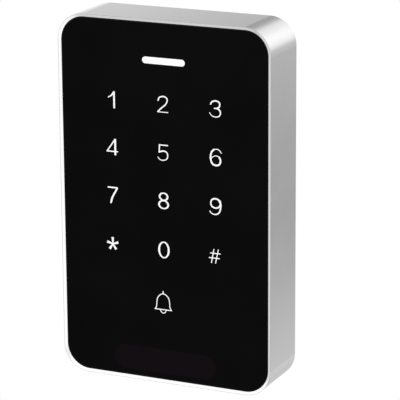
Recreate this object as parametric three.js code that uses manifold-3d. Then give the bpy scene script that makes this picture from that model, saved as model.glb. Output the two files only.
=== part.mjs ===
// Keypad access reader: a wall-mounted touch keypad with a card reader, as an assembly of separate pieces.
// Frame: millimetres, +X to the right as seen from the front, +Z up, +Y towards the wall.
// The origin is the middle of the wall plate's rear face, which lies on the wall, so the front faces -Y.
import * as THREE from "three";
import { mergeVertices } from "three/addons/utils/BufferGeometryUtils.js";
import Module from "manifold-3d";

const wasm = await Module();
wasm.setup();

// ---------------------------------------------------------------- driving dimensions
const WIDTH = 74, HEIGHT = 120, DEPTH = 21;          // overall, wall to front rim
const CORNER_R = 9;                                  // outer corners of the frame
const FRONT_Y = -DEPTH;                              // plane of the front rim
const FRAME_BACK_Y = -0.3;                           // rear edge of the frame, just off the wall
const RIM_FLAT_IN = 0.2, RIM_IN = 1.0, RIM_DROP = 0.5; // rim: a shallow bevel runs from 0.2 mm in to 1 mm in
const PANEL_Y0 = -20.4, PANEL_Y1 = -17.5, PANEL_GAP = 0.1; // front panel, sunk 0.6 mm below the rim
const LEDGE_Y0 = -17.1, LEDGE_Y1 = -15.6, LEDGE_IN = 4.5; // ledge that the panel is bonded to
const CAVITY_IN = 2.6, RECESS_IN = 1.4, SHOULDER_Y = -5.2; // walls: 2.6 mm, 1.4 mm behind the shoulder
const BOARD_Y0 = -15.5, BOARD_Y1 = -13.9;            // circuit board
const COVER_Y0 = -4.65, COVER_Y1 = -2.9;             // back cover
const PLATE_Y0 = -1.5, PLATE_Y1 = 0;                 // wall plate, 1.5 mm sheet steel
const PLATE_W = 68.8, PLATE_H = 100, PLATE_R = 5;
const BOSS = [30.2, 53.2], BOSS_R = 4;               // cover screw bosses, one in each corner
const LUG = [30.5, 46], LUG_R = 3.6;                 // board screw lugs on the ledge
const KEY_X = [-18.2, 0, 18.2], KEY_Z = [32.5, 16.5, 0.5, -15.5], BELL_Z = -33.3; // key grid
const BAR = { w: 14.8, h: 2.1, z: 46.7 };            // status light bar
const WIRE = { x: 0, z: -22, r: 4 };                 // wire inlet
const TAMPER = { x: 24, z: -41, travel: 1.5 };       // tamper plunger
const LOCK = { y: -5, headR: 2.75, travel: 2.2 };    // security screw, upwards through the bottom wall
const HOOK = { x: 18, w: 9, z: 50, lipZ: 55.5, lipY0: -8.8, lipY1: -7.3 };
const SHEET = 1.5;

// ---------------------------------------------------------------- materials
const mat = (color, roughness, metalness = 0) => new THREE.MeshStandardMaterial({ color, roughness, metalness });
const M = {
  aluminium: mat(0xc9cacb, 0.32, 1),
  panel: mat(0x08080a, 0.08),
  white: mat(0xf4f5f5, 0.35),
  milky: mat(0xe9eaea, 0.45),
  board: mat(0x12341f, 0.45),
  copper: mat(0xb0683a, 0.35, 1),
  chip: mat(0x1b1b1d, 0.55),
  tin: mat(0xb9bbbd, 0.3, 1),
  relay: mat(0x1e4fa0, 0.4),
  connector: mat(0xe6e2d4, 0.5),
  abs: mat(0x17181a, 0.6),
  silicone: mat(0x2a2b2d, 0.75),
  tape: mat(0x3a3b3d, 0.8),
  zinc: mat(0xb4b8bb, 0.38, 1),
  steel: mat(0xc4c6c8, 0.28, 1),
  nylon: mat(0xece9df, 0.5),
};

// ---------------------------------------------------------------- geometry helpers
function solid(geometry) {
  const g = geometry.clone();
  g.deleteAttribute("normal");
  g.deleteAttribute("uv");
  const merged = mergeVertices(g, 1e-4);
  return new wasm.Manifold(new wasm.Mesh({ numProp: 3, vertProperties: merged.attributes.position.array, triVerts: new Uint32Array(merged.index.array) }));
}
function geometryOf(manifold) {
  const m = manifold.getMesh(), n = m.numProp, v = new Float32Array(m.numVert * 3);
  for (let i = 0; i < m.numVert; i++) v.set(m.vertProperties.subarray(i * n, i * n + 3), i * 3);
  const g = new THREE.BufferGeometry();
  g.setAttribute("position", new THREE.BufferAttribute(v, 3));
  g.setIndex(new THREE.BufferAttribute(new Uint32Array(m.triVerts), 1));
  const flat = g.toNonIndexed();
  flat.computeVertexNormals();
  return flat;
}
// Points of a rounded rectangle in the XZ plane, anticlockwise as seen from -Y.
function ring(w, h, r, n = 8, cx = 0, cz = 0) {
  const pts = [], x = w / 2 - r, z = h / 2 - r;
  for (const [sx, sz, a0] of [[1, 1, 0], [-1, 1, 90], [-1, -1, 180], [1, -1, 270]])
    for (let i = 0; i <= n; i++) {
      const a = ((a0 + (90 * i) / n) * Math.PI) / 180;
      pts.push([cx + sx * x + r * Math.cos(a), cz + sz * z + r * Math.sin(a)]);
    }
  return pts;
}
// A closed solid through a stack of rounded rectangles: sections are [y, w, h, r], from front to back.
function loft(sections, n = 8, cx = 0, cz = 0) {
  const rings = sections.map(([y, w, h, r]) => ring(w, h, r, n, cx, cz).map(([x, z]) => [x, y, z]));
  const k = rings[0].length, pos = [], idx = [];
  for (const r of rings) for (const p of r) pos.push(...p);
  for (let s = 0; s + 1 < rings.length; s++)
    for (let i = 0; i < k; i++) {
      const a = s * k + i, b = s * k + ((i + 1) % k), c = a + k, d = b + k;
      idx.push(a, c, b, b, c, d);
    }
  const cap = (s, y, flip) => {
    const c = pos.length / 3;
    pos.push(cx, y, cz);
    for (let i = 0; i < k; i++) {
      const a = s * k + i, b = s * k + ((i + 1) % k);
      flip ? idx.push(c, b, a) : idx.push(c, a, b);
    }
  };
  cap(0, sections[0][0], false);
  cap(rings.length - 1, sections[sections.length - 1][0], true);
  const g = new THREE.BufferGeometry();
  g.setAttribute("position", new THREE.Float32BufferAttribute(pos, 3));
  g.setIndex(idx);
  return g;
}
const plate = (w, h, r, y0, y1, n = 8, cx = 0, cz = 0) => loft([[y0, w, h, r], [y1, w, h, r]], n, cx, cz);
// The frame's own outline, moved inwards by d.
const inset = (d, y) => [y, WIDTH - 2 * d, HEIGHT - 2 * d, Math.max(CORNER_R - d, 0.5)];
function box(x0, x1, y0, y1, z0, z1) {
  return new THREE.BoxGeometry(x1 - x0, y1 - y0, z1 - z0).translate((x0 + x1) / 2, (y0 + y1) / 2, (z0 + z1) / 2);
}
function rodY(r, y0, y1, x = 0, z = 0, seg = 20) {
  return new THREE.CylinderGeometry(r, r, y1 - y0, seg).translate(x, (y0 + y1) / 2, z);
}
function rodZ(r, z0, z1, x = 0, y = 0, seg = 20) {
  return new THREE.CylinderGeometry(r, r, z1 - z0, seg).rotateX(Math.PI / 2).translate(x, y, (z0 + z1) / 2);
}
// A body of revolution about Y; the profile is [radius, y] pairs that close on themselves, anticlockwise.
function turned(profile, seg = 24) {
  return new THREE.LatheGeometry(profile.map(([r, y]) => new THREE.Vector2(r, y)), seg);
}
const union = (...gs) => gs.map(solid).reduce((a, b) => a.add(b));
function cut(base, ...gs) {
  let s = base instanceof THREE.BufferGeometry ? solid(base) : base;
  for (const g of gs) s = s.subtract(g instanceof THREE.BufferGeometry ? solid(g) : g);
  return s;
}
function mesh(name, shape, material, parent, at = [0, 0, 0]) {
  const g = shape instanceof THREE.BufferGeometry ? shape : geometryOf(shape);
  const m = new THREE.Mesh(g, material);
  m.name = name;
  m.position.set(...at);
  parent.add(m);
  return m;
}
const corners = ([x, z]) => [[x, z], [-x, z], [-x, -z], [x, -z]];

const reader = new THREE.Group();
const wallMount = new THREE.Group(), housing = new THREE.Group(), electronics = new THREE.Group();
reader.add(wallMount, housing);
housing.add(electronics);

// ---------------------------------------------------------------- wall plate
// Pressed sheet with two hooks at the top, a tapped tab at the bottom, slots for box screws and a wire opening.
{
  let s = solid(plate(PLATE_W, PLATE_H, PLATE_R, PLATE_Y0, PLATE_Y1, 6));
  for (const sx of [-1, 1]) {
    const x0 = sx * HOOK.x - HOOK.w / 2, x1 = sx * HOOK.x + HOOK.w / 2;
    s = s.add(solid(box(x0, x1, PLATE_Y0, 0, HOOK.z - 1, HOOK.z + SHEET)))
      .add(solid(box(x0, x1, HOOK.lipY0, -1, HOOK.z, HOOK.z + SHEET)))
      .add(solid(box(x0, x1, HOOK.lipY0, HOOK.lipY1, HOOK.z + 0.5, HOOK.lipZ)));
  }
  s = s.add(solid(box(-6, 6, PLATE_Y0, 0, -HOOK.z - SHEET, -HOOK.z + 1)))
    .add(solid(box(-6, 6, -8, -1, -HOOK.z - SHEET, -HOOK.z)));
  s = cut(s,
    rodZ(1.65, -53, -49, 0, LOCK.y, 16),
    plate(9, 4.6, 2.299, -3, 1, 6, 0, 41.75), plate(9, 4.6, 2.299, -3, 1, 6, 0, -41.75),
    plate(4.6, 9, 2.299, -3, 1, 6, 30, 0), plate(4.6, 9, 2.299, -3, 1, 6, -30, 0),
    plate(26, 18, 3, -3, 1, 6, WIRE.x, WIRE.z),
    rodY(4.5, -3, 1, TAMPER.x, TAMPER.z, 24));
  mesh("wall_plate", s, M.zinc, wallMount);
}

// ---------------------------------------------------------------- frame
{
  let s = solid(loft([[...inset(0.15, FRONT_Y)], [...inset(0, FRONT_Y + 0.15)], [...inset(0, FRAME_BACK_Y - 0.25)], [...inset(0.25, FRAME_BACK_Y)]]));
  const slope = (RIM_IN - RIM_FLAT_IN) / RIM_DROP;
  const throat = loft([inset(RIM_FLAT_IN - 0.3 * slope, FRONT_Y - 0.3), inset(RIM_IN, FRONT_Y + RIM_DROP), inset(RIM_IN, LEDGE_Y0)]);
  let opening = solid(loft([inset(LEDGE_IN, LEDGE_Y0 - 0.5), inset(LEDGE_IN, LEDGE_Y1 + 0.5)], 5));
  for (const [x, z] of corners(LUG)) opening = opening.subtract(solid(rodY(LUG_R, -19, -14, x, z, 20)));
  let cavity = solid(loft([inset(CAVITY_IN, LEDGE_Y1), inset(CAVITY_IN, SHOULDER_Y + 0.5)]));
  let recess = solid(loft([inset(RECESS_IN, SHOULDER_Y), inset(RECESS_IN, 1)]));
  s = cut(s, throat, opening, cavity, recess);
  for (const [x, z] of corners(BOSS)) s = s.add(solid(rodY(BOSS_R, LEDGE_Y1 - 0.5, SHOULDER_Y, x, z, 24)));
  s = s.add(solid(box(-5, 5, -9, -0.6, -58.9, -53)));
  for (const [x, z] of corners(BOSS)) s = s.subtract(solid(rodY(1.3, -12.5, -4, x, z, 14)));
  for (const [x, z] of corners(LUG)) s = s.subtract(solid(rodY(1.0, -18, -15, x, z, 12)));
  s = cut(s, rodZ(3.2, -61, -55, 0, LOCK.y, 24), rodZ(1.7, -56, -52, 0, LOCK.y, 16));
  mesh("frame_shell", s, M.aluminium, housing);
}

// ---------------------------------------------------------------- front panel, its bond and its light pieces
{
  const c = 0.15, d = RIM_IN + PANEL_GAP, w = WIDTH - 2 * d, h = HEIGHT - 2 * d, r = CORNER_R - d;
  const body = loft([[PANEL_Y0, w - 2 * c, h - 2 * c, r - c], [PANEL_Y0 + c, w, h, r], [PANEL_Y1, w, h, r]]);
  mesh("front_panel", cut(body, plate(BAR.w + 0.2, BAR.h + 0.2, (BAR.h + 0.2) / 2, -22, -16, 8, 0, BAR.z)), M.panel, housing);
  mesh("panel_adhesive", cut(plate(w - 0.4, h - 0.4, r - 0.2, -17.45, -17.15), plate(65.4, 111.4, 4.7, -18, -16, 5)), M.tape, housing);
  // The light bar is a moulding whose stadium face is flush with the panel, with a flange behind it.
  mesh("status_light_bar", union(
    plate(BAR.w, BAR.h, BAR.h / 2 - 0.001, PANEL_Y0, -17.2, 8, 0, BAR.z),
    plate(19, 6.2, 1.5, -17.4, -16.4, 4, 0, BAR.z)), M.white, housing);
  mesh("key_light_guide", plate(56, 76, 2, -17.4, -16.3, 4), M.milky, housing);
}

// ---------------------------------------------------------------- circuit board and what is on it
{
  let b = solid(loft([inset(3.1, BOARD_Y0), inset(3.1, BOARD_Y1)], 6));
  for (const [x, z] of corners(BOSS)) b = b.subtract(solid(rodY(BOSS_R + 0.5, -17, -12, x, z, 24)));
  for (const [x, z] of corners(LUG)) b = b.subtract(solid(rodY(1.15, -17, -12, x, z, 12)));
  mesh("main_board", b, M.board, electronics);
  // Wound reader coil round the key field, on the front of the board.
  mesh("antenna_coil", cut(plate(63.2, 82, 5, -17.3, -15.8, 6), plate(58.6, 77.4, 2.7, -18, -15, 6)), M.copper, electronics);

  // Front of the board: one lamp behind each key, and three behind the light bar.
  const lamp = () => box(-0.8, 0.8, -0.6, 0, -0.6, 0.6);
  const names = ["1", "2", "3", "4", "5", "6", "7", "8", "9", "star", "0", "hash"];
  names.forEach((n, i) => mesh("key_led_" + n, lamp(), M.white, electronics, [KEY_X[i % 3], BOARD_Y0 - 0.02, KEY_Z[Math.floor(i / 3)]]));
  mesh("key_led_bell", lamp(), M.white, electronics, [0, BOARD_Y0 - 0.02, BELL_Z]);
  [["red", -4.5], ["green", 0], ["blue", 4.5]].forEach(([n, x]) => mesh("status_led_" + n, lamp(), M.white, electronics, [x, BOARD_Y0 - 0.02, BAR.z]));

  // Rear of the board. Each piece is made with its foot at y = 0 and stands towards the wall.
  const Y = BOARD_Y1 + 0.02;
  const leaded = (w, h, t, n, pitch, sides) => {
    let s = solid(box(-w / 2, w / 2, 0.1, t, -h / 2, h / 2));
    for (let i = 0; i < n; i++) {
      const p = (i - (n - 1) / 2) * pitch;
      s = s.add(solid(box(-w / 2 - 0.9, w / 2 + 0.9, 0, 0.25, p - 0.16, p + 0.16)));
      if (sides === 4) s = s.add(solid(box(p - 0.16, p + 0.16, 0, 0.25, -h / 2 - 0.9, h / 2 + 0.9)));
    }
    return s;
  };
  mesh("microcontroller", leaded(7, 7, 1.5, 8, 0.8, 4), M.chip, electronics, [-14, Y, 14]);
  mesh("touch_controller", leaded(5.2, 9.8, 1.6, 8, 1.1, 2), M.chip, electronics, [-27, Y, 2]);
  mesh("card_reader_chip", leaded(3.9, 8.6, 1.5, 7, 1.1, 2), M.chip, electronics, [-26, Y, 20]);
  mesh("crystal", plate(10.6, 4.4, 2.1, 0, 3.4, 6), M.tin, electronics, [-14, Y, 24.5]);
  mesh("relay", loft([[0, 14, 9, 0.5], [4.6, 14, 9, 0.5], [5, 13.4, 8.4, 0.3]], 2), M.relay, electronics, [21, Y, 30]);
  mesh("buzzer", cut(turned([[0, 0], [6, 0], [6, 6.1], [5.6, 6.5], [0, 6.5]], 28), rodY(1.1, 5, 8, 0, 0, 14)), M.chip, electronics, [-21, Y, 36.5]);
  mesh("bulk_capacitor", turned([[0, 0], [3.1, 0], [3.1, 0.9], [2.8, 1.2], [3.15, 1.5], [3.15, 7.2], [2.9, 7.5], [0, 7.5]], 24), M.tin, electronics, [2, Y, 35]);
  mesh("voltage_regulator", union(box(-3.3, 3.3, 0.1, 2.3, -2.8, 2.4), box(-2.7, 2.7, 0, 0.5, 2.2, 3.8), box(-2.6, -1.9, 0, 0.5, -5.2, -2.6), box(1.9, 2.6, 0, 0.5, -5.2, -2.6)), M.chip, electronics, [4, Y, 20]);
  mesh("power_inductor", loft([[0, 7, 7, 1.2], [4.2, 7, 7, 1.2]], 3), M.chip, electronics, [17, Y, 17]);
  mesh("protection_diode", union(box(-2.2, 2.2, 0.1, 2.2, -1.8, 1.8), box(-2.8, 2.8, 0, 0.5, -1, 1)), M.chip, electronics, [28, Y, 17]);
  // Headers for the wiring loom: open shrouds with pins.
  const header = (n) => {
    const w = 2.5 * (n - 1) + 4.9;
    let s = cut(box(-w / 2, w / 2, 0, 7, -2.9, 2.9), box(-w / 2 + 0.9, w / 2 - 0.9, 1.2, 8, -2.1, 2.1), box(-w / 2 + 2, w / 2 - 2, 3.4, 8, -3.5, -1.9));
    for (let i = 0; i < n; i++) {
      const x = (i - (n - 1) / 2) * 2.5;
      s = s.add(solid(box(x - 0.32, x + 0.32, 1, 6, -0.32, 0.32)));
    }
    return s;
  };
  mesh("wiring_header_8", header(8), M.connector, electronics, [-6, Y, -4.5]);
  mesh("wiring_header_4", header(4), M.connector, electronics, [20, Y, -4.5]);
  // Tamper switch: the case, and the stub that the plunger bears on.
  mesh("tamper_switch", union(box(-3, 3, 0, 4, -3, 3), rodY(1.6, 3.5, 5.4, 0, 0, 16)), M.chip, electronics, [TAMPER.x, Y, TAMPER.z]);
  // Board screws, from behind into the ledge's lugs.
  corners(LUG).forEach(([x, z], i) => {
    const s = cut(union(turned([[0, 0], [1.8, 0], [1.8, 0.6], [1.3, 1.1], [0, 1.1]], 18), rodY(0.9, -2.7, 0.2, 0, 0, 12)),
      box(-0.2, 0.2, 0.5, 2, -1, 1), box(-1, 1, 0.5, 2, -0.2, 0.2));
    mesh("board_screw_" + (i + 1), s, M.steel, electronics, [x, Y + 0.03, z]);
  });
}

// ---------------------------------------------------------------- back cover, gasket, grommet and screws
{
  let s = solid(loft([inset(1.6, COVER_Y0), inset(1.6, COVER_Y1)]));
  for (const [x, z] of corners([26, 30])) s = s.add(solid(rodY(2.5, -3.2, -1.6, x, z, 18)));
  // Pockets: one round each hook, and one round the security screw's boss.
  for (const sx of [-1, 1]) {
    const x = sx * HOOK.x;
    s = s.add(solid(box(x - 7.2, x + 7.2, -11.6, -4, 45, 57.2)));
    s = s.subtract(solid(box(x - 6, x + 6, -10.4, COVER_Y0, 46.2, 56.4)));
    s = s.subtract(solid(box(x - 5.5, x + 5.5, -6, -2, 46.8, 52.8)));
  }
  s = s.add(solid(box(-10.2, 10.2, -10.6, -4, -57.2, -45.8)));
  s = s.subtract(solid(box(-9, 9, -9.4, -2, -60, -47)));
  for (const [x, z] of corners(BOSS)) s = s.subtract(solid(rodY(1.45, -6, -2, x, z, 16)));
  s = cut(s, rodY(6.1, -6, -2, WIRE.x, WIRE.z, 24), rodY(2.3, -6, -2, TAMPER.x, TAMPER.z, 18));
  mesh("back_cover", s, M.abs, housing);

  mesh("cover_gasket", cut(loft([inset(1.75, -5.15), inset(1.75, -4.7)]), loft([inset(2.55, -6), inset(2.55, -4)]), box(-9.4, 9.4, -6, -4, -60, -55)), M.silicone, housing);

  // Wire grommet, gripping the cover between two flanges, with the free hole that the loom passes through.
  mesh("wire_grommet", turned([[WIRE.r, -5.9], [8, -5.9], [8, -4.7], [6, -4.7], [6, -2.85], [7.5, -2.85], [7.5, -2.3], [7.1, -1.9], [WIRE.r + 0.5, -1.9], [WIRE.r, -2.4], [WIRE.r, -5.9]]), M.silicone, housing, [WIRE.x, 0, WIRE.z]);

  corners(BOSS).forEach(([x, z], i) => {
    const s = cut(union(turned([[0, 0], [2.25, 0], [2.25, 0.6], [1.7, 1.2], [0, 1.2]], 20), rodY(1.2, -7.2, 0.2, 0, 0, 14)),
      box(-0.25, 0.25, 0.5, 2, -1.3, 1.3), box(-1.3, 1.3, 0.5, 2, -0.25, 0.25));
    mesh("cover_screw_" + (i + 1), s, M.steel, housing, [x, COVER_Y1 + 0.02, z]);
  });
}

// ---------------------------------------------------------------- moving pieces
// Tamper plunger: stands on the switch, passes through the cover and the plate, and ends at the wall.
mesh("tamper_plunger", turned([[0, -8.35], [1.9, -8.35], [1.9, -8], [3.1, -8], [3.1, -6.65], [2, -6.65], [2, -0.7], [1.4, -0.1], [0, -0.1]], 20), M.nylon, housing, [TAMPER.x, 0, TAMPER.z]);
// Security screw with its captive washer, backed off by its full travel.
{
  const s = cut(union(
    new THREE.LatheGeometry([[0, -59.8], [2.5, -59.8], [LOCK.headR, -59.55], [LOCK.headR, -57.8], [0, -57.8]].map(([r, z]) => new THREE.Vector2(r, z)), 24).rotateX(Math.PI / 2),
    rodZ(1.45, -58.2, -51.9, 0, 0, 16)),
    new THREE.CylinderGeometry(1.15, 1.15, 2.4, 6).rotateX(Math.PI / 2).translate(0, 0, -59.8));
  mesh("security_screw", s, M.steel, housing, [0, LOCK.y, 0]);
  mesh("security_screw_washer", cut(rodZ(2.9, -57.75, -57.25, 0, 0, 24), rodZ(1.6, -59, -56, 0, 0, 16)), M.nylon, housing, [0, LOCK.y, 0]);
}

export default reader;
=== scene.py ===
import math

import bpy
import bmesh
import numpy as np
from mathutils import Matrix, Vector


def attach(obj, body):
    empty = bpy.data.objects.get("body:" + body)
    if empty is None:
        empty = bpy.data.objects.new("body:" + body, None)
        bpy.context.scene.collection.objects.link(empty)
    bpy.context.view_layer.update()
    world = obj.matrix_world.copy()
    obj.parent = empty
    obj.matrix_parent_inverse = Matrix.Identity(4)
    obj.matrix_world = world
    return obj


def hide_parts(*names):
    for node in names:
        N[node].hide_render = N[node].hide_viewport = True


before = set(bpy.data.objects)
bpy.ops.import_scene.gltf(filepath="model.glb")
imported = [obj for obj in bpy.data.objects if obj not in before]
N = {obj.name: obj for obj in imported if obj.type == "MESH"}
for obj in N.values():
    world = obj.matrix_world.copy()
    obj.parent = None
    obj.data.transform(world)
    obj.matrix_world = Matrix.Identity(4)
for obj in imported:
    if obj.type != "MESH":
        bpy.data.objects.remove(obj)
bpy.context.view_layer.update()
MM = 0.001

# ------------------------------------------------------------------ dimensions, in millimetres, as in the CAD part
WIDTH, HEIGHT, DEPTH, CORNER_R = 74.0, 120.0, 21.0, 9.0
FRONT_Y, BACK_Y = -21.0, -0.3
RIM_FLAT, RIM_IN, RIM_DROP = 0.08, 1.0, 0.5
PANEL_Y0, PANEL_Y1, PANEL_GAP = -20.4, -17.5, 0.1
KEY_X, KEY_Z = (-18.2, 0.0, 18.2), (32.57, 16.87, 0.94, -15.58)
BAR_W, BAR_H, BAR_Z = 14.8, 2.1, 46.7
LABEL_X, LABEL_Z, LABEL_W, LABEL_H = -0.4, -52.9, 36.6, 8.4


# ------------------------------------------------------------------ shader helpers
class Nodes:
    """A small wrapper for building a node tree."""

    def __init__(self, tree):
        self.t = tree
        tree.nodes.clear()

    def add(self, kind, **props):
        n = self.t.nodes.new(kind)
        for k, v in props.items():
            setattr(n, k, v)
        return n

    def link(self, a, b):
        self.t.links.new(a, b)

    def put(self, socket, value):
        if isinstance(value, bpy.types.NodeSocket):
            self.link(value, socket)
        else:
            socket.default_value = value

    def math(self, op, a, b=0.0, c=None, clamp=False):
        n = self.add("ShaderNodeMath", operation=op, use_clamp=clamp)
        self.put(n.inputs[0], a)
        self.put(n.inputs[1], b)
        if c is not None:
            self.put(n.inputs[2], c)
        return n.outputs[0]

    def remap(self, v, a, b, c, d, smooth=False):
        n = self.add("ShaderNodeMapRange", interpolation_type="SMOOTHSTEP" if smooth else "LINEAR")
        self.put(n.inputs["Value"], v)
        for k, x in (("From Min", a), ("From Max", b), ("To Min", c), ("To Max", d)):
            n.inputs[k].default_value = x
        return n.outputs["Result"]

    def mix(self, f, a, b):
        n = self.add("ShaderNodeMix", data_type="RGBA")
        self.put(n.inputs[0], f)
        for s, v in ((n.inputs[6], a), (n.inputs[7], b)):
            if isinstance(v, bpy.types.NodeSocket):
                self.link(v, s)
            else:
                s.default_value = (*v, 1.0) if len(v) == 3 else v
        return n.outputs[2]

    def noise(self, vec, scale, detail=3.0, rough=0.55):
        n = self.add("ShaderNodeTexNoise")
        self.put(n.inputs["Vector"], vec)
        n.inputs["Scale"].default_value = scale
        n.inputs["Detail"].default_value = detail
        n.inputs["Roughness"].default_value = rough
        return n.outputs["Fac"]

    def coords(self, stretch=(1, 1, 1)):
        c = self.add("ShaderNodeTexCoord").outputs["Object"]
        if tuple(stretch) == (1, 1, 1):
            return c
        m = self.add("ShaderNodeMapping")
        self.link(c, m.inputs["Vector"])
        m.inputs["Scale"].default_value = stretch
        return m.outputs[0]


def surface(name, color, rough, metal=0.0, vary=0.06, tint=None, patch=120.0, rough_vary=0.04, grain=2500.0,
            grain_depth=0.01, wave=None, coat=None, ior=1.5, spec=None, stretch=(1, 1, 1), emit=None, sss=None):
    """A procedural finish: patchy colour, patchy roughness and a fine relief, all in the object's own coordinates."""
    m = bpy.data.materials.new(name)
    m.use_nodes = True
    m.diffuse_color = (*color, 1)
    n = Nodes(m.node_tree)
    out = n.add("ShaderNodeOutputMaterial")
    b = n.add("ShaderNodeBsdfPrincipled")
    n.link(b.outputs[0], out.inputs[0])
    co = n.coords(stretch)
    big = n.noise(co, patch, 3.0)
    fine = n.noise(co, grain, 2.0, 0.6)
    dark = tuple(max(0.0, c * (1 - vary)) for c in color)
    light = tint if tint else tuple(min(1.0, c * (1 + vary)) for c in color)
    col = n.mix(n.remap(big, 0.3, 0.7, 0.0, 1.0), dark, light)
    n.link(col, b.inputs["Base Color"])
    r = n.math("ADD", n.remap(big, 0.25, 0.75, rough - rough_vary, rough + rough_vary), n.remap(fine, 0.3, 0.7, -0.5 * rough_vary, 0.5 * rough_vary), clamp=True)
    n.link(r, b.inputs["Roughness"])
    b.inputs["Metallic"].default_value = metal
    b.inputs["IOR"].default_value = ior
    if spec is not None:
        b.inputs["Specular IOR Level"].default_value = spec
    if coat:
        b.inputs["Coat Weight"].default_value = coat[0]
        b.inputs["Coat Roughness"].default_value = coat[1]
    if sss:
        b.inputs["Subsurface Weight"].default_value = sss
        b.inputs["Subsurface Radius"].default_value = (0.001, 0.001, 0.001)
        b.inputs["Subsurface Scale"].default_value = 0.5
    height = fine
    if wave:
        w = n.add("ShaderNodeTexWave", wave_type="BANDS", bands_direction=wave[0])
        n.link(co, w.inputs["Vector"])
        w.inputs["Scale"].default_value = wave[1]
        w.inputs["Distortion"].default_value = wave[2]
        w.inputs["Detail"].default_value = 2.0
        height = n.math("ADD", n.math("MULTIPLY", w.outputs["Fac"], wave[3]), fine)
    bump = n.add("ShaderNodeBump")
    bump.inputs["Strength"].default_value = 1.0
    bump.inputs["Distance"].default_value = grain_depth * MM
    n.link(height, bump.inputs["Height"])
    n.link(bump.outputs[0], b.inputs["Normal"])
    if emit:
        e = n.mix(n.remap(big, 0.3, 0.7, 0.0, 1.0), tuple(c * 0.97 for c in emit[0]), emit[0])
        n.link(e, b.inputs["Emission Color"])
        b.inputs["Emission Strength"].default_value = emit[1]
    return m


# ------------------------------------------------------------------ mesh helpers
def ring(w, h, r, n=20, cx=0.0, cz=0.0):
    """A rounded rectangle in the XZ plane."""
    pts = []
    x, z = w / 2 - r, h / 2 - r
    for sx, sz, a0 in ((1, 1, 0), (-1, 1, 90), (-1, -1, 180), (1, -1, 270)):
        for i in range(n + 1):
            a = math.radians(a0 + 90.0 * i / n)
            pts.append((cx + sx * x + r * math.cos(a), cz + sz * z + r * math.sin(a)))
    return pts


def rounded(profile, seg=5, support=0.06):
    """A closed profile [(u, v, radius)] with its corners rounded, and a support point just past each arc."""
    pts = []
    k = len(profile)
    for i in range(k):
        p = Vector(profile[i][:2])
        a = Vector(profile[i - 1][:2]) - p
        b = Vector(profile[(i + 1) % k][:2]) - p
        r = profile[i][2]
        la, lb = a.length, b.length
        a.normalize()
        b.normalize()
        if r <= 0:
            pts.append(tuple(p))
            continue
        half = math.acos(max(-1, min(1, a.dot(b)))) / 2
        t = min(r / math.tan(half), 0.45 * la, 0.45 * lb)
        r = t * math.tan(half)
        centre = p + (a + b).normalized() * (r / math.sin(half))
        p0, p1 = p + a * t, p + b * t
        v0, v1 = p0 - centre, p1 - centre
        ang = v0.angle_signed(v1) if v0.length > 0 else 0
        if la - t > 3 * support:
            pts.append(tuple(p0 + a * support))
        for s in range(seg + 1):
            q = v0.copy()
            q.rotate(Matrix.Rotation(-ang * s / seg, 2))
            pts.append(tuple(centre + q))
        if lb - t > 3 * support:
            pts.append(tuple(p1 + b * support))
    return pts


def make(name, verts, faces, material, body=None, smooth=32.0, collection=None):
    me = bpy.data.meshes.new(name)
    me.from_pydata([tuple(c * MM for c in v) for v in verts], [], faces)
    bm = bmesh.new()
    bm.from_mesh(me)
    bmesh.ops.remove_doubles(bm, verts=bm.verts, dist=1e-7)
    bmesh.ops.recalc_face_normals(bm, faces=bm.faces)
    bm.to_mesh(me)
    bm.free()
    return place(name, me, material, body, smooth)


def place(name, me, material, body=None, smooth=32.0):
    me.name = name
    me.materials.clear()
    me.materials.append(material)
    me.shade_smooth()
    me.set_sharp_from_angle(angle=math.radians(smooth))
    o = bpy.data.objects.new(name, me)
    bpy.context.scene.collection.objects.link(o)
    w = o.modifiers.new("weighted", "WEIGHTED_NORMAL")
    w.keep_sharp = True
    w.weight = 100
    if body:
        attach(o, body)
    return o


def sweep(sections_fn, profile, n=20, closed=True):
    """Carries a profile [(inset, y)] round the rounded rectangle that sections_fn gives for each inset."""
    verts, faces = [], []
    for d, y in profile:
        w, h, r = sections_fn(d)
        verts += [(x, y, z) for x, z in ring(w, h, r, n)]
    k = 4 * (n + 1)
    m = len(profile)
    for s in range(m if closed else m - 1):
        t = (s + 1) % m
        for i in range(k):
            j = (i + 1) % k
            faces.append((s * k + i, s * k + j, t * k + j, t * k + i))
    return verts, faces


def outline(d):
    return WIDTH - 2 * d, HEIGHT - 2 * d, max(CORNER_R - d, 0.3)


def lathe(profile, seg=48, axis="Y", at=(0, 0, 0)):
    """A closed body of revolution; profile is [(radius, along)]."""
    verts, faces = [], []
    for r, t in profile:
        for i in range(seg):
            a = 2 * math.pi * i / seg
            u, v = r * math.cos(a), r * math.sin(a)
            verts.append((u + at[0], t + at[1], v + at[2]) if axis == "Y" else (u + at[0], v + at[1], t + at[2]))
    m = len(profile)
    for s in range(m):
        t = (s + 1) % m
        for i in range(seg):
            j = (i + 1) % seg
            faces.append((s * seg + i, s * seg + j, t * seg + j, t * seg + i))
    return verts, faces


def temp(verts, faces):
    me = bpy.data.meshes.new("temp")
    me.from_pydata([tuple(c * MM for c in v) for v in verts], [], faces)
    bm = bmesh.new()
    bm.from_mesh(me)
    bmesh.ops.remove_doubles(bm, verts=bm.verts, dist=1e-7)
    bmesh.ops.recalc_face_normals(bm, faces=bm.faces)
    bm.to_mesh(me)
    bm.free()
    o = bpy.data.objects.new("temp", me)
    bpy.context.scene.collection.objects.link(o)
    return o


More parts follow.
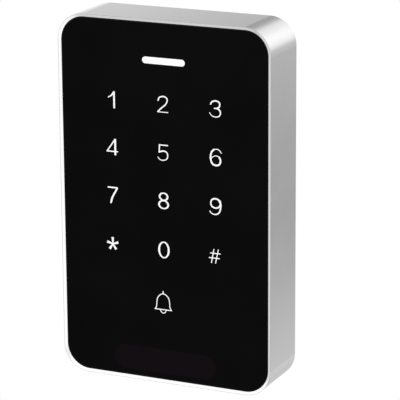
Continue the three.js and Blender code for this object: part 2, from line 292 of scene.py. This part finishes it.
def combine(base, steps):
    """Unions and cuts on a mesh object; the helpers are removed and the finished mesh is returned."""
    for op, tool in steps:
        m = base.modifiers.new("b", "BOOLEAN")
        m.operation = op
        m.object = tool
        m.solver = "EXACT"
    bpy.context.view_layer.update()
    dg = bpy.context.evaluated_depsgraph_get()
    me = bpy.data.meshes.new_from_object(base.evaluated_get(dg))
    for o in [base] + [t for _, t in steps]:
        old = o.data
        bpy.data.objects.remove(o)
        bpy.data.meshes.remove(old)
    return me


def slab(w, h, r, y0, y1, n=12, cx=0.0, cz=0.0):
    """A rounded rectangle solid between two depths."""
    pts = ring(w, h, r, n, cx, cz)
    k = len(pts)
    verts = [(x, y0, z) for x, z in pts] + [(x, y1, z) for x, z in pts]
    faces = [tuple(range(k)), tuple(range(k, 2 * k))] + [(i, (i + 1) % k, k + (i + 1) % k, k + i) for i in range(k)]
    return verts, faces


def block(x0, x1, y0, y1, z0, z1):
    v = [(x, y, z) for x in (x0, x1) for y in (y0, y1) for z in (z0, z1)]
    return v, [(0, 1, 3, 2), (4, 6, 7, 5), (0, 4, 5, 1), (2, 3, 7, 6), (0, 2, 6, 4), (1, 5, 7, 3)]


def rod(r, t0, t1, axis="Y", at=(0, 0, 0), seg=40):
    verts, faces = [], []
    for t in (t0, t1):
        for i in range(seg):
            a = 2 * math.pi * i / seg
            u, v = r * math.cos(a), r * math.sin(a)
            verts.append((u + at[0], t + at[1], v + at[2]) if axis == "Y" else (u + at[0], v + at[1], t + at[2]))
    faces = [tuple(range(seg)), tuple(range(seg, 2 * seg))] + [(i, (i + 1) % seg, seg + (i + 1) % seg, seg + i) for i in range(seg)]
    return verts, faces


# ------------------------------------------------------------------ finishes
MAT = {}
MAT["satin_aluminium"] = surface("satin_aluminium", (0.80, 0.80, 0.805), 0.165, 1.0, vary=0.012, patch=60, rough_vary=0.012, grain=7000, grain_depth=0.0006)
MAT["white_diffuser"] = surface("white_diffuser", (0.82, 0.83, 0.84), 0.35, vary=0.02, patch=400, grain=5000, grain_depth=0.004, sss=0.3)
MAT["light_bar"] = surface("light_bar_lit", (0.85, 0.86, 0.87), 0.3, vary=0.02, patch=500, grain=5000, grain_depth=0.003, emit=((1.0, 1.0, 1.0), 0.45))
MAT["legend"] = surface("legend_lit", (0.85, 0.85, 0.86), 0.4, vary=0.03, patch=700, grain=6000, grain_depth=0.003, emit=((1.0, 1.0, 1.0), 0.35))
MAT["circuit_board"] = surface("circuit_board", (0.020, 0.085, 0.035), 0.38, vary=0.18, tint=(0.028, 0.12, 0.05), patch=260, rough_vary=0.06, grain=1800, grain_depth=0.012, wave=("DIAGONAL", 260, 6.0, 0.6), coat=(0.3, 0.2))
MAT["coil_copper"] = surface("coil_copper", (0.62, 0.27, 0.12), 0.3, 1.0, vary=0.12, patch=200, grain=3000, grain_depth=0.006, wave=("Y", 2400, 1.0, 1.0))
MAT["black_epoxy"] = surface("black_epoxy", (0.013, 0.013, 0.014), 0.5, vary=0.2, patch=300, rough_vary=0.08, grain=4500, grain_depth=0.01)
MAT["tinned_metal"] = surface("tinned_metal", (0.70, 0.71, 0.72), 0.28, 1.0, vary=0.06, patch=260, rough_vary=0.08, grain=2600, grain_depth=0.004)
MAT["relay_blue"] = surface("relay_blue", (0.016, 0.075, 0.34), 0.38, vary=0.1, patch=220, grain=3800, grain_depth=0.008)
MAT["connector_white"] = surface("connector_white", (0.72, 0.69, 0.58), 0.45, vary=0.05, patch=200, grain=4200, grain_depth=0.008, sss=0.1)
MAT["black_abs"] = surface("black_abs", (0.012, 0.0125, 0.0135), 0.55, vary=0.15, patch=140, rough_vary=0.07, grain=2600, grain_depth=0.02)
MAT["black_silicone"] = surface("black_silicone", (0.020, 0.020, 0.021), 0.7, vary=0.15, patch=180, rough_vary=0.06, grain=3600, grain_depth=0.012)
MAT["foam_tape"] = surface("foam_tape", (0.035, 0.036, 0.038), 0.85, vary=0.2, patch=500, grain=1500, grain_depth=0.03)
MAT["zinc_plated_steel"] = surface("zinc_plated_steel", (0.60, 0.625, 0.65), 0.34, 1.0, vary=0.03, tint=(0.62, 0.64, 0.66), patch=220, rough_vary=0.05, grain=1500, grain_depth=0.004, wave=("X", 700, 9.0, 0.25))
MAT["stainless_steel"] = surface("stainless_steel", (0.62, 0.62, 0.61), 0.26, 1.0, vary=0.06, patch=500, rough_vary=0.06, grain=4000, grain_depth=0.003)
MAT["natural_nylon"] = surface("natural_nylon", (0.70, 0.68, 0.61), 0.42, vary=0.06, patch=400, grain=3500, grain_depth=0.006, sss=0.2)


def panel_finish():
    """Gloss black sheet: near-black ink under a clear hard face, faint smears, and a slightly warmer blank label strip near the bottom."""
    m = bpy.data.materials.new("gloss_black_panel")
    m.use_nodes = True
    n = Nodes(m.node_tree)
    out = n.add("ShaderNodeOutputMaterial")
    b = n.add("ShaderNodeBsdfPrincipled")
    n.link(b.outputs[0], out.inputs[0])
    co = n.coords()
    xyz = n.add("ShaderNodeSeparateXYZ")
    n.link(co, xyz.inputs[0])
    half = (LABEL_W - LABEL_H) / 2 * MM
    dx = n.math("SUBTRACT", xyz.outputs["X"], LABEL_X * MM)
    dz = n.math("SUBTRACT", xyz.outputs["Z"], LABEL_Z * MM)
    ax = n.math("MAXIMUM", n.math("SUBTRACT", n.math("ABSOLUTE", dx), half), 0.0)
    dist = n.math("SQRT", n.math("ADD", n.math("MULTIPLY", ax, ax), n.math("MULTIPLY", dz, dz)))
    label = n.remap(dist, (LABEL_H / 2 - 0.35) * MM, (LABEL_H / 2 + 0.15) * MM, 1.0, 0.0, smooth=True)
    big = n.noise(co, 45.0, 3.0)
    fine = n.noise(co, 2200.0, 2.0)
    ink = n.mix(n.remap(big, 0.3, 0.7, 0.0, 1.0), (0.0024, 0.0024, 0.0027), (0.0034, 0.0034, 0.0037))
    n.link(n.mix(label, ink, (0.0062, 0.0038, 0.0057)), b.inputs["Base Color"])
    smear = n.noise(n.coords((1, 1, 2.6)), 70.0, 4.0)
    n.link(n.remap(smear, 0.35, 0.75, 0.045, 0.10), b.inputs["Roughness"])
    b.inputs["IOR"].default_value = 1.49
    b.inputs["Specular IOR Level"].default_value = 0.40
    bump = n.add("ShaderNodeBump")
    bump.inputs["Distance"].default_value = 0.0006 * MM
    n.link(fine, bump.inputs["Height"])
    n.link(bump.outputs[0], b.inputs["Normal"])
    return m


MAT["gloss_black_panel"] = panel_finish()

# ------------------------------------------------------------------ frame
front_profile = rounded([
    (0.0, FRONT_Y, 0.04), (0.0, BACK_Y, 0.28), (1.4, BACK_Y, 0.15), (1.4, -5.2, 0.15), (2.6, -5.2, 0.1), (2.6, -15.6, 0.2),
    (4.5, -15.6, 0.1), (4.5, -17.1, 0.1), (RIM_IN, -17.1, 0.1), (RIM_IN, FRONT_Y + RIM_DROP, 0.08), (RIM_FLAT, FRONT_Y, 0.09)], seg=5, support=0.05)
v, f = sweep(outline, front_profile, n=24)
steps = []
for sx in (-1, 1):
    for sz in (-1, 1):
        steps.append(("UNION", temp(*rod(4.0, -16.1, -5.3, at=(sx * 30.2, 0, sz * 53.2)))))
        steps.append(("UNION", temp(*rod(3.6, -17.05, -15.65, at=(sx * 30.5, 0, sz * 46)))))
steps.append(("UNION", temp(*block(-5, 5, -9, -0.6, -58.9, -53))))
for sx in (-1, 1):
    for sz in (-1, 1):
        steps.append(("DIFFERENCE", temp(*rod(1.3, -12.5, -4, at=(sx * 30.2, 0, sz * 53.2), seg=24))))
        steps.append(("DIFFERENCE", temp(*rod(1.0, -18, -15, at=(sx * 30.5, 0, sz * 46), seg=24))))
steps.append(("DIFFERENCE", temp(*lathe([(0.001, -61), (3.9, -61), (3.45, -60.05), (3.25, -59.85), (3.2, -59.7), (3.2, -55), (0.001, -55)], 48, "Z", (0, -5, 0)))))
steps.append(("DIFFERENCE", temp(*rod(1.7, -61, -52, "Z", (0, -5, 0), 32))))
shell = place("housing_frame", combine(temp(v, f), steps), MAT["satin_aluminium"], "housing", 30)
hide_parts("frame_shell")

# ------------------------------------------------------------------ front panel and light bar
pd = RIM_IN + PANEL_GAP


def stadium(d):
    return lambda e: (BAR_W + 2 * d - 2 * e, BAR_H + 2 * d - 2 * e, BAR_H / 2 + d - e - 0.0005)


pw, ph, pr = WIDTH - 2 * pd, HEIGHT - 2 * pd, CORNER_R - pd
edge = [(0.0, PANEL_Y1), (0.0, PANEL_Y0 + 0.25)] + [(0.2 - 0.2 * math.cos(math.radians(a)), PANEL_Y0 + 0.2 - 0.2 * math.sin(math.radians(a))) for a in range(0, 91, 15)] + [(0.26, PANEL_Y0)]
verts, faces = [], []
for d, y in edge:
    verts += [(x, y, z) for x, z in ring(pw - 2 * d, ph - 2 * d, pr - d, 20)]
k = 84
for s in range(len(edge) - 1):
    for i in range(k):
        j = (i + 1) % k
        faces.append((s * k + i, s * k + j, (s + 1) * k + j, (s + 1) * k + i))
faces.append(tuple(range(k)))
faces.append(tuple(range((len(edge) - 1) * k, len(edge) * k)))
cutter = temp(*slab(BAR_W + 0.2, BAR_H + 0.2, (BAR_H + 0.2) / 2 - 0.0005, -22, -16, 12, 0, BAR_Z))
panel = place("front_glass", combine(temp(verts, faces), [("DIFFERENCE", cutter)]), MAT["gloss_black_panel"], "housing", 30)
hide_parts("front_panel")

bar_edge = [(0.0, -17.2), (0.0, PANEL_Y0 + 0.15)] + [(0.12 - 0.12 * math.cos(math.radians(a)), PANEL_Y0 + 0.12 - 0.12 * math.sin(math.radians(a))) for a in range(0, 91, 30)]
verts, faces = [], []
for d, y in bar_edge:
    verts += [(x, y, z) for x, z in ring(BAR_W - 2 * d, BAR_H - 2 * d, BAR_H / 2 - d - 0.0005, 12, 0, BAR_Z)]
k = 52
for s in range(len(bar_edge) - 1):
    for i in range(k):
        j = (i + 1) % k
        faces.append((s * k + i, s * k + j, (s + 1) * k + j, (s + 1) * k + i))
faces.append(tuple(range((len(bar_edge) - 1) * k, len(bar_edge) * k)))
o = len(verts)
for w, h, r, y in ((BAR_W, BAR_H, BAR_H / 2 - 0.0005, -17.2), (19, 6.2, 1.5, -17.38), (19, 6.2, 1.5, -16.5), (18.8, 6.0, 1.4, -16.4)):
    verts += [(x, y, z) for x, z in ring(w, h, r, 12, 0, BAR_Z)]
for s, t in ((0, 1), (1, 2), (2, 3)):
    for i in range(k):
        j = (i + 1) % k
        faces.append((o + s * k + i, o + s * k + j, o + t * k + j, o + t * k + i))
faces.append(tuple(range(o + 3 * k, o + 4 * k)))
bar = make("light_bar", verts, faces, MAT["light_bar"], "housing")
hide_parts("status_light_bar")


# ------------------------------------------------------------------ printed key legends
def curve_points(pts, closed=False, sub=10):
    """A smooth line through points (uniform Catmull-Rom)."""
    p = [np.array(q, float) for q in pts]
    k = len(p)
    out = []
    for i in range(k if closed else k - 1):
        p1, p2 = p[i], p[(i + 1) % k]
        p0 = p[i - 1] if (closed or i > 0) else 2 * p1 - p2
        p3 = p[(i + 2) % k] if (closed or i + 2 < k) else 2 * p2 - p1
        for s in range(sub):
            t = s / sub
            out.append(0.5 * ((2 * p1) + (-p0 + p2) * t + (2 * p0 - 5 * p1 + 4 * p2 - p3) * t * t + (-p0 + 3 * p1 - 3 * p2 + p3) * t ** 3))
    out.append(p[0] if closed else p[-1])
    return np.array(out)


def arc(cx, cz, rx, rz, a0, a1, steps=24):
    a = np.radians(np.linspace(a0, a1, steps))
    return np.stack([cx + rx * np.cos(a), cz + rz * np.sin(a)], 1)


class Glyph:
    """A legend drawn as strokes in a signed distance field."""

    def __init__(self, w=3.6, h=4.3, step=0.06):
        self.x = np.arange(-w, w + step, step)
        self.z = np.arange(-h, h + step, step)
        self.X, self.Z = np.meshgrid(self.x, self.z)
        self.d = np.full(self.X.shape, 9.0)

    def stroke(self, pts, w0, w1=None, butt0=False, butt1=False, widths=None):
        pts = np.asarray(pts, float)
        k = len(pts)
        if widths is None:
            w1 = w0 if w1 is None else w1
            s = np.r_[0, np.cumsum(np.hypot(*np.diff(pts, axis=0).T))]
            widths = w0 + (w1 - w0) * s / s[-1]
        for i in range(k - 1):
            a, b = pts[i], pts[i + 1]
            ab = b - a
            L2 = float(ab @ ab)
            if L2 == 0:
                continue
            t = np.clip(((self.X - a[0]) * ab[0] + (self.Z - a[1]) * ab[1]) / L2, 0, 1)
            dd = np.hypot(self.X - a[0] - t * ab[0], self.Z - a[1] - t * ab[1]) - (widths[i] + (widths[i + 1] - widths[i]) * t) / 2
            u = ab / math.sqrt(L2)
            if butt0 and i == 0:
                dd = np.maximum(dd, -((self.X - a[0]) * u[0] + (self.Z - a[1]) * u[1]))
            if butt1 and i == k - 2:
                dd = np.maximum(dd, (self.X - b[0]) * u[0] + (self.Z - b[1]) * u[1])
            self.d = np.minimum(self.d, dd)

    def loop(self, cx, cz, rx, rz, side, cap):
        """An oval band whose stroke is `side` wide at its sides and `cap` wide at its top and bottom."""
        a = np.linspace(0, 360, 73)
        self.stroke(arc(cx, cz, rx, rz, 0, 360, 73), 0, widths=cap + (side - cap) * np.abs(np.cos(np.radians(a))) ** 1.5)

    def contours(self):
        """Marching squares: closed loops of the zero level, as lists of points."""
        D, X, Z = self.d, self.x, self.z
        ins = D < 0
        seg = {}

        def cross(i0, j0, i1, j1):
            t = D[i0, j0] / (D[i0, j0] - D[i1, j1])
            return (X[j0] + (X[j1] - X[j0]) * t, Z[i0] + (Z[i1] - Z[i0]) * t)

        pts = {}
        rows, cols = np.nonzero((ins[:-1, :-1] != ins[1:, 1:]) | (ins[:-1, 1:] != ins[1:, :-1]) | (ins[:-1, :-1] != ins[:-1, 1:]))
        for i, j in zip(rows.tolist(), cols.tolist()):
            c = (ins[i, j], ins[i, j + 1], ins[i + 1, j + 1], ins[i + 1, j])
            e = []
            keys = (("h", i, j), ("v", i, j + 1), ("h", i + 1, j), ("v", i, j))
            ends = (((i, j), (i, j + 1)), ((i, j + 1), (i + 1, j + 1)), ((i + 1, j + 1), (i + 1, j)), ((i + 1, j), (i, j)))
            for q in range(4):
                if c[q] != c[(q + 1) % 4]:
                    kq = keys[q]
                    if kq not in pts:
                        (a, b), (g, h) = ends[q]
                        pts[kq] = cross(a, b, g, h)
                    e.append(kq)
            pairs = [(e[0], e[1])] if len(e) == 2 else ([(e[0], e[3]), (e[1], e[2])] if c[0] else [(e[0], e[1]), (e[2], e[3])])
            for a, b in pairs:
                seg.setdefault(a, []).append(b)
                seg.setdefault(b, []).append(a)
        loops, left = [], set(seg)
        for start in sorted(seg):
            if start not in left:
                continue
            loop, cur, prev = [], start, None
            while cur in left:
                left.discard(cur)
                loop.append(pts[cur])
                nxt = [q for q in seg[cur] if q != prev and q in left]
                prev = cur
                if not nxt:
                    break
                cur = nxt[0]
            if len(loop) > 5:
                loops.append(np.array(loop))
        return loops


def thin(loop, tol=0.006):
    """Drops points that lie on a straight run."""
    keep = list(range(len(loop)))
    changed = True
    while changed:
        changed = False
        i = 0
        while i < len(keep) and len(keep) > 8:
            a, p, b = loop[keep[i - 1]], loop[keep[i]], loop[keep[(i + 1) % len(keep)]]
            ab = b - a
            L = math.hypot(*ab)
            if L < 0.5 and L > 0 and abs(ab[0] * (p[1] - a[1]) - ab[1] * (p[0] - a[0])) / L < tol * 0.5:
                keep.pop(i)
                changed = True
            i += 1
    return loop[keep]


def legend(name, glyph, cx, cz, proud=0.02):
    cu = bpy.data.curves.new(name, "CURVE")
    cu.dimensions = "2D"
    cu.fill_mode = "BOTH"
    cu.extrude = proud * MM
    for lp in glyph.contours():
        lp = thin(lp)
        sp = cu.splines.new("POLY")
        sp.points.add(len(lp) - 1)
        for q, (x, z) in zip(sp.points, lp):
            q.co = (x * MM, z * MM, 0, 1)
        sp.use_cyclic_u = True
    o = bpy.data.objects.new("temp", cu)
    bpy.context.scene.collection.objects.link(o)
    bpy.context.view_layer.update()
    me = bpy.data.meshes.new_from_object(o.evaluated_get(bpy.context.evaluated_depsgraph_get()))
    bpy.data.objects.remove(o)
    bpy.data.curves.remove(cu)
    me.transform(Matrix.Translation((cx * MM, PANEL_Y0 * MM, cz * MM)) @ Matrix.Rotation(math.radians(90), 4, "X"))
    bm = bmesh.new()
    bm.from_mesh(me)
    bmesh.ops.remove_doubles(bm, verts=bm.verts, dist=1e-7)
    bmesh.ops.recalc_face_normals(bm, faces=bm.faces)
    bm.to_mesh(me)
    bm.free()
    return place(name, me, MAT["legend"], "housing", 30)


glyphs = {}
# What each legend is thinned by on either side, and its own offset from the regular grid, in millimetres.
TRIM = {"1": 0.12, "2": 0.19, "3": 0.13, "4": 0.11, "5": 0.125, "6": 0.115, "7": 0.105, "8": 0.105, "9": 0.10, "star": 0.03, "0": 0.12, "hash": 0.14, "bell": 0.11}
NUDGE = {"1": (0.05, 0.28), "2": (-0.01, 0.34), "3": (0.01, 0.44), "4": (-0.06, 0.45), "5": (-0.05, 0.43), "6": (-0.07, 0.58), "7": (-0.19, 0.45), "8": (-0.17, 0.51), "9": (-0.11, 0.53), "star": (-0.24, 0.53), "0": (-0.19, 0.47), "hash": (-0.16, 0.46), "bell": (-0.30, 0.46)}
g = Glyph()
g.stroke([(-1.40, 0.68), (-0.3, 1.35), (0.62, 2.5)], 0.55, 0.8)
g.stroke([(0.65, 2.72), (0.67, -2.9)], 0.82, butt0=True, butt1=True)
glyphs["1"] = g
g = Glyph()
g.stroke(curve_points([(-1.92, 1.2), (-1.45, 2.15), (-0.17, 2.55), (0.95, 2.2), (1.26, 1.37), (0.7, 0.06), (-0.75, -1.2), (-2.05, -2.45)]), 0.8)
g.stroke([(-2.35, -2.55), (1.75, -2.5)], 0.65, butt0=True, butt1=True)
glyphs["2"] = g
g = Glyph()
g.stroke(curve_points([(-1.92, 1.55), (-1.4, 2.35), (-0.17, 2.7), (0.9, 2.35), (1.22, 1.64), (0.95, 0.75), (0.1, 0.3)]), 0.72)
g.stroke([(-0.91, 0.24), (0.2, 0.3)], 0.62, butt0=True)
g.stroke(curve_points([(0.1, 0.3), (1.05, -0.15), (1.44, -1.08), (1.0, -2.1), (-0.26, -2.5), (-1.5, -2.2), (-2.3, -1.25)]), 0.75, 0.5)
glyphs["3"] = g
g = Glyph()
g.stroke([(0.86, 2.5), (-2.0, -1.50)], 0.62)
g.stroke([(-2.3, -1.53), (2.0, -1.47)], 0.6, butt0=True, butt1=True)
g.stroke([(0.92, 2.75), (0.92, -2.8)], 0.85, butt0=True, butt1=True)
glyphs["4"] = g
g = Glyph()
g.stroke([(-1.75, 2.34), (1.57, 2.34)], 0.62, butt0=True, butt1=True)
g.stroke([(-1.55, 2.34), (-1.68, 0.0)], 0.7, 0.6)
g.stroke(curve_points([(-1.70, 0.0), (-0.35, 0.42), (0.9, 0.1), (1.31, -1.0), (0.9, -2.15), (-0.35, -2.62), (-1.5, -2.4), (-2.14, -1.69)]), 0.74, 0.5)
glyphs["5"] = g
g = Glyph()
g.stroke(curve_points([(1.75, 1.6), (1.05, 2.45), (0.0, 2.7), (-1.35, 2.1), (-1.96, -0.08), (-1.45, -1.95), (-0.09, -2.56), (1.1, -2.1), (1.49, -0.87), (1.05, 0.18), (0.0, 0.55), (-1.1, 0.2), (-1.9, -0.65)]), 0.5, widths=None)
g.stroke(curve_points([(-0.8, 2.5), (-1.6, 1.6), (-1.96, -0.08), (-1.45, -1.95), (-0.09, -2.56), (1.1, -2.1), (1.49, -0.87), (1.05, 0.18)]), 0.78)
glyphs["6"] = g
g = Glyph()
g.stroke([(-2.0, 2.41), (1.78, 2.44)], 0.66, butt0=True, butt1=True)
g.stroke(curve_points([(1.5, 2.2), (0.35, 0.3), (-0.35, -1.1), (-0.82, -2.75)]), 0.72, 0.85, butt1=True)
glyphs["7"] = g
g = Glyph()
g.loop(-0.17, 1.25, 1.4, 1.17, 0.78, 0.6)
g.loop(-0.2, -1.36, 1.62, 1.30, 0.8, 0.6)
glyphs["8"] = g
g = Glyph()
g.stroke(curve_points([(1.5, 0.6), (1.25, 1.95), (-0.28, 2.55), (-1.5, 2.1), (-1.9, 0.97), (-1.45, -0.1), (-0.28, -0.5), (0.8, -0.15), (1.45, 0.75)]), 0.68)
g.stroke(curve_points([(0.95, 2.0), (1.5, 0.9), (1.45, -0.6), (0.95, -1.95), (-0.26, -2.62), (-1.5, -2.4), (-2.25, -1.7)]), 0.8, 0.5)
glyphs["9"] = g
g = Glyph()
for ex, ez in ((-0.35, 2.2), (-2.36, 0.53), (1.66, 0.62), (-1.49, -1.83), (0.87, -1.83)):
    g.stroke([(-0.26, -0.08), (ex, ez)], 0.45, 0.92, butt1=True)
glyphs["star"] = g
g = Glyph()
g.loop(-0.24, 0.1, 1.70, 2.60, 0.88, 0.62)
glyphs["0"] = g
g = Glyph()
g.stroke([(-1.79, -2.35), (-0.78, 2.65)], 0.6, butt0=True, butt1=True)
g.stroke([(-0.34, -2.35), (0.74, 2.65)], 0.6, butt0=True, butt1=True)
g.stroke([(-2.3, 1.10), (1.6, 1.12)], 0.6, butt0=True, butt1=True)
g.stroke([(-2.75, -0.48), (1.3, -0.48)], 0.6, butt0=True, butt1=True)
glyphs["hash"] = g
g = Glyph(3.9, 4.6)
left = curve_points([(-0.26, 3.05), (-0.95, 2.8), (-1.75, 2.2), (-2.31, 1.3), (-2.54, 0.04), (-2.62, -1.18), (-2.85, -1.85), (-3.2, -2.33)])
right = curve_points([(-0.26, 3.05), (0.45, 2.8), (1.31, 2.2), (1.84, 1.3), (2.01, 0.04), (2.10, -1.18), (2.36, -1.85), (2.7, -2.33)])
g.stroke(left, 0.52)
g.stroke(right, 0.52)
g.stroke([(-3.2, -2.35), (2.7, -2.33)], 0.52)
g.stroke([(-0.26, 3.0), (-0.26, 3.75)], 0.6)
g.stroke(curve_points([(-1.25, -2.5), (-0.95, -3.2), (-0.26, -3.5), (0.45, -3.2), (0.79, -2.5)]), 0.5)
glyphs["bell"] = g

order = [["1", "2", "3"], ["4", "5", "6"], ["7", "8", "9"], ["star", "0", "hash"]]
for r, row in enumerate(order):
    for c, key in enumerate(row):
        ox, oz = NUDGE.get(key, (0.0, 0.0))
        glyphs[key].d += TRIM[key]
        legend("legend_" + key, glyphs[key], KEY_X[c] + ox, KEY_Z[r] + oz)
ox, oz = NUDGE.get("bell", (0.0, 0.0))
glyphs["bell"].d += TRIM["bell"]
legend("legend_bell", glyphs["bell"], -0.3 + ox, -33.3 + oz)

# ------------------------------------------------------------------ finishes and softened edges on the carried-over CAD nodes
FINISH = {
    "wall_plate": "zinc_plated_steel", "main_board": "circuit_board", "antenna_coil": "coil_copper", "panel_adhesive": "foam_tape",
    "key_light_guide": "white_diffuser", "back_cover": "black_abs", "cover_gasket": "black_silicone", "wire_grommet": "black_silicone",
    "relay": "relay_blue", "crystal": "tinned_metal", "bulk_capacitor": "tinned_metal", "wiring_header_8": "connector_white",
    "wiring_header_4": "connector_white", "tamper_plunger": "natural_nylon", "security_screw_washer": "natural_nylon", "security_screw": "stainless_steel"}
WIDTHS = {"wall_plate": 0.22, "back_cover": 0.25, "wire_grommet": 0.18, "tamper_plunger": 0.2, "cover_gasket": 0.08, "panel_adhesive": 0.03,
          "key_light_guide": 0.12, "main_board": 0.08, "antenna_coil": 0.12, "security_screw": 0.12, "security_screw_washer": 0.08}
for name, o in N.items():
    if o.hide_render:
        continue
    kind = FINISH.get(name)
    if kind is None:
        kind = "stainless_steel" if "screw" in name else "white_diffuser" if "_led_" in name else "black_epoxy"
    o.data.materials.clear()
    o.data.materials.append(MAT[kind])
    for p in o.data.polygons:
        p.material_index = 0
        p.use_smooth = True
    weld = o.modifiers.new("weld", "WELD")
    weld.merge_threshold = 2e-6
    flat = o.modifiers.new("flat", "DECIMATE")
    flat.decimate_type = "DISSOLVE"
    flat.angle_limit = math.radians(0.6)
    bev = o.modifiers.new("edge", "BEVEL")
    bev.width = WIDTHS.get(name, 0.07) * MM
    bev.segments = 3
    bev.limit_method = "ANGLE"
    bev.angle_limit = math.radians(38)
    bev.harden_normals = False
    bev.use_clamp_overlap = True
    wn = o.modifiers.new("weighted", "WEIGHTED_NORMAL")
    wn.weight = 100

# ------------------------------------------------------------------ light: a soft studio that surrounds the object
scene = bpy.context.scene
world = bpy.data.worlds.new("studio")
scene.world = world
world.use_nodes = True
w = Nodes(world.node_tree)
wout = w.add("ShaderNodeOutputWorld")
bg = w.add("ShaderNodeBackground")
w.link(bg.outputs[0], wout.inputs[0])
wdir = w.add("ShaderNodeTexCoord").outputs["Generated"]


def unit(v):
    v = Vector(v)
    v.normalize()
    return tuple(v)


# Behind the object, towards +Y, the brightness goes with the angle round the Y axis from +X: two broad soft boxes with a darker gap
# above left and another below right.
BACK_RING = [
    (-180, 0.84), (-162, 0.80), (-145, 0.65), (-90, 0.63), (-62, 0.68), (-50, 0.70), (-46, 0.77), (-43, 0.85), (-40.5, 0.61), (-38.5, 0.29), (-35.5, 0.33), (-32, 0.42),
    (-29, 0.55), (-25, 0.61), (-16, 0.60), (-6, 0.66), (6, 0.94), (18, 1.12), (34, 1.20), (50, 1.19), (66, 1.08), (80, 1.00), (93, 0.92),
    (103, 0.74), (112, 0.54), (122, 0.44), (154, 0.37), (157, 0.84), (160, 0.98), (168, 0.92)]
xyz = w.add("ShaderNodeSeparateXYZ")
w.link(wdir, xyz.inputs[0])
turn = w.math("ARCTAN2", xyz.outputs["Z"], xyz.outputs["X"])
ramp = w.add("ShaderNodeValToRGB")
els = ramp.color_ramp.elements
for a, v in BACK_RING[1:]:
    els.new((a + 180) / 360)
for k, (a, v) in enumerate(BACK_RING + [(180, 0.86)]):
    els[k].color = (v / 1.5, v / 1.5, v / 1.5, 1)
w.link(w.remap(turn, -math.pi, math.pi, 0.0, 1.0), ramp.inputs[0])
behind = w.math("MULTIPLY", ramp.outputs[0], 1.5)

# In front: an even half-tone, with a bright wide surround (for the front rim) about a dark area opposite the panel.
# Each entry: direction, full inside this angle, nothing outside that one, strength.
FRONT = 0.66
LOBES = [
    ((-0.40, -0.88, -0.26), 62.0, 78.0, 0.62),
    ((-0.90, -0.05, -0.42), 15.0, 32.0, -0.42),
    ((-0.40, -0.12, -0.91), 12.0, 28.0, -0.52),
    ((-0.40, -0.88, -0.26), 11.0, 32.0, -1.215),
    ((0.10, -0.98, -0.09), 8.0, 24.0, -0.80),
    ((-0.20, -0.80, -0.57), 10.0, 24.0, -0.75),
    ((-0.20, -0.68, -0.71), 5.0, 13.0, -0.60),
    ((-0.72, -0.64, -0.26), 8.0, 22.0, -0.70),
]
total = FRONT
for d, a0, a1, s in LOBES:
    dot = w.add("ShaderNodeVectorMath", operation="DOT_PRODUCT")
    w.link(wdir, dot.inputs[0])
    dot.inputs[1].default_value = unit(d)
    total = w.math("ADD", total, w.remap(dot.outputs["Value"], math.cos(math.radians(a1)), math.cos(math.radians(a0)), 0.0, s, smooth=True))
total = w.math("MAXIMUM", total, 0.05)
blend = w.remap(xyz.outputs["Y"], 0.40, 0.66, 0.0, 1.0, smooth=True)
w.link(w.math("ADD", w.math("MULTIPLY", behind, blend), w.math("MULTIPLY", total, w.math("SUBTRACT", 1.0, blend))), bg.inputs["Strength"])
bg.inputs["Color"].default_value = (1, 1, 1, 1)


# ------------------------------------------------------------------ pale surroundings, seen by the camera only
def backdrop():
    m = bpy.data.materials.new("pale_backdrop")
    m.use_nodes = True
    n = Nodes(m.node_tree)
    out = n.add("ShaderNodeOutputMaterial")
    e = n.add("ShaderNodeEmission")
    e.inputs["Color"].default_value = (1, 1, 1, 1)
    e.inputs["Strength"].default_value = 1.0
    n.link(e.outputs[0], out.inputs[0])
    bm = bmesh.new()
    bmesh.ops.create_uvsphere(bm, u_segments=48, v_segments=24, radius=3.2)
    me = bpy.data.meshes.new("backdrop")
    bm.to_mesh(me)
    bm.free()
    dome = bpy.data.objects.new("backdrop", me)
    me2 = bpy.data.meshes.new("floor")
    s, z = 3.0, -1.25
    me2.from_pydata([(-s, -s, z), (s, -s, z), (s, s, z), (-s, s, z)], [], [(0, 1, 2, 3)])
    floor = bpy.data.objects.new("floor", me2)
    for o in (dome, floor):
        o.data.materials.append(m)
        bpy.context.scene.collection.objects.link(o)
        o.visible_diffuse = o.visible_glossy = o.visible_transmission = False
        o.visible_volume_scatter = o.visible_shadow = False


backdrop()
scene.view_settings.view_transform = "Standard"
scene.view_settings.look = "None"

# ------------------------------------------------------------------ camera
yaw, pitch, roll = (math.radians(a) for a in (24.832, 15.411, -0.358))
dist, focal, tx, ty = 756.2, 2372.1, 11.523, 1.739
cy, sy, cp, sp = math.cos(yaw), math.sin(yaw), math.cos(pitch), math.sin(pitch)
back = Vector((sy * cp, -cy * cp, sp))
right = Vector((cy, sy, 0.0))
up = back.cross(right)
cr, sr = math.cos(roll), math.sin(roll)
r2, u2 = cr * right + sr * up, -sr * right + cr * up
loc = Vector((0, -21.0, 0)) + tx * r2 + ty * u2 + dist * back
cam = bpy.data.cameras.new("camera")
cam.sensor_width = 36.0
cam.sensor_fit = "HORIZONTAL"
cam.lens = focal / 400.0 * 36.0
cam.clip_start, cam.clip_end = 0.05, 20.0
cam_o = bpy.data.objects.new("camera", cam)
cam_o.matrix_world = Matrix((
    (r2[0], u2[0], back[0], loc[0] * MM), (r2[1], u2[1], back[1], loc[1] * MM), (r2[2], u2[2], back[2], loc[2] * MM), (0, 0, 0, 1)))
scene.collection.objects.link(cam_o)
scene.camera = cam_o
